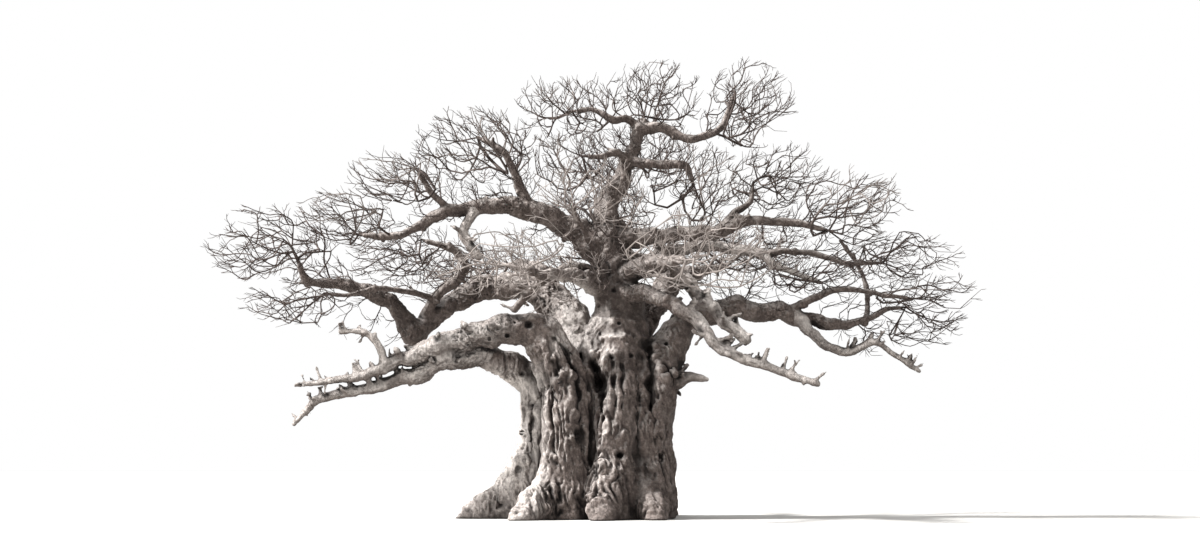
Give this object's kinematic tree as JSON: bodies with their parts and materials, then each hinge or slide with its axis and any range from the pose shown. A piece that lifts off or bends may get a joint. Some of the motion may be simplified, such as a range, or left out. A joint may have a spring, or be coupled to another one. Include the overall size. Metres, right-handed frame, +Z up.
{
  "type": "baobab tree",
  "caption": "Leafless African baobab: a massive fluted trunk of fused stems on flaring roots, heavy arching boughs and a wide domed crown of bare twigs.",
  "frame": {"origin": "middle of the foot of the trunk, on the flat cut at ground level", "axes": "+Z up along the trunk, +X to the right and -Y towards someone who faces the front of the tree, as the picture does"},
  "size_m": [30.3065, 22.4768, 18.0728],
  "materials": {
    "bark": "smooth folded grey-brown bark with deep crevices, sun-bleached on top",
    "twigs": "thin rough grey-brown bark of bare twigs"
  },
  "bodies": {
    "root": {"trunk": "bark", "back_left_bough": "bark", "broken_stub": "bark", "central_leader": "bark", "cross_bough": "bark", "far_left_bough": "bark", "front_arch_bough": "bark", "front_left_bough": "bark", "front_right_bough": "bark", "front_riser": "bark", "hanging_stub": "bark", "high_rear_bough": "bark", "hook_bough": "bark", "knobbly_bough": "bark", "left_mid_riser": "bark", "leg_bough": "bark", "link_riser": "bark", "low_left_bough": "bark", "low_right_bough": "bark", "mid_left_bough": "bark", "mid_right_bough": "bark", "rear_bough": "bark", "rear_left_bough": "bark", "rear_right_bough": "bark", "right_arch_bough": "bark", "right_far_bough": "bark", "right_mid_bough": "bark", "right_riser": "bark", "right_stem_bough": "bark", "right_upper_bough": "bark", "shoulder_riser": "bark", "top_left_bough": "bark", "top_right_bough": "bark", "upper_left_bough": "bark", "upper_left_riser": "bark", "white_arch_bough": "bark", "far_left_low_twigs": "twigs", "far_left_twigs": "twigs", "far_right_low_twigs": "twigs", "far_right_twigs": "twigs", "front_centre_twigs": "twigs", "front_left_twigs": "twigs", "front_right_twigs": "twigs", "high_rear_twigs": "twigs", "left_middle_twigs": "twigs", "left_shoulder_twigs": "twigs", "left_tier_twigs": "twigs", "rear_centre_twigs": "twigs", "rear_left_twigs": "twigs", "rear_right_twigs": "twigs", "right_end_twigs": "twigs", "right_inner_high_twigs": "twigs", "right_inner_twigs": "twigs", "right_shoulder_twigs": "twigs", "right_upper_twigs": "twigs", "top_centre_twigs": "twigs", "top_left_twigs": "twigs", "top_right_twigs": "twigs", "upper_inner_twigs": "twigs", "upper_left_twigs": "twigs"}
  },
  "joints": []
}
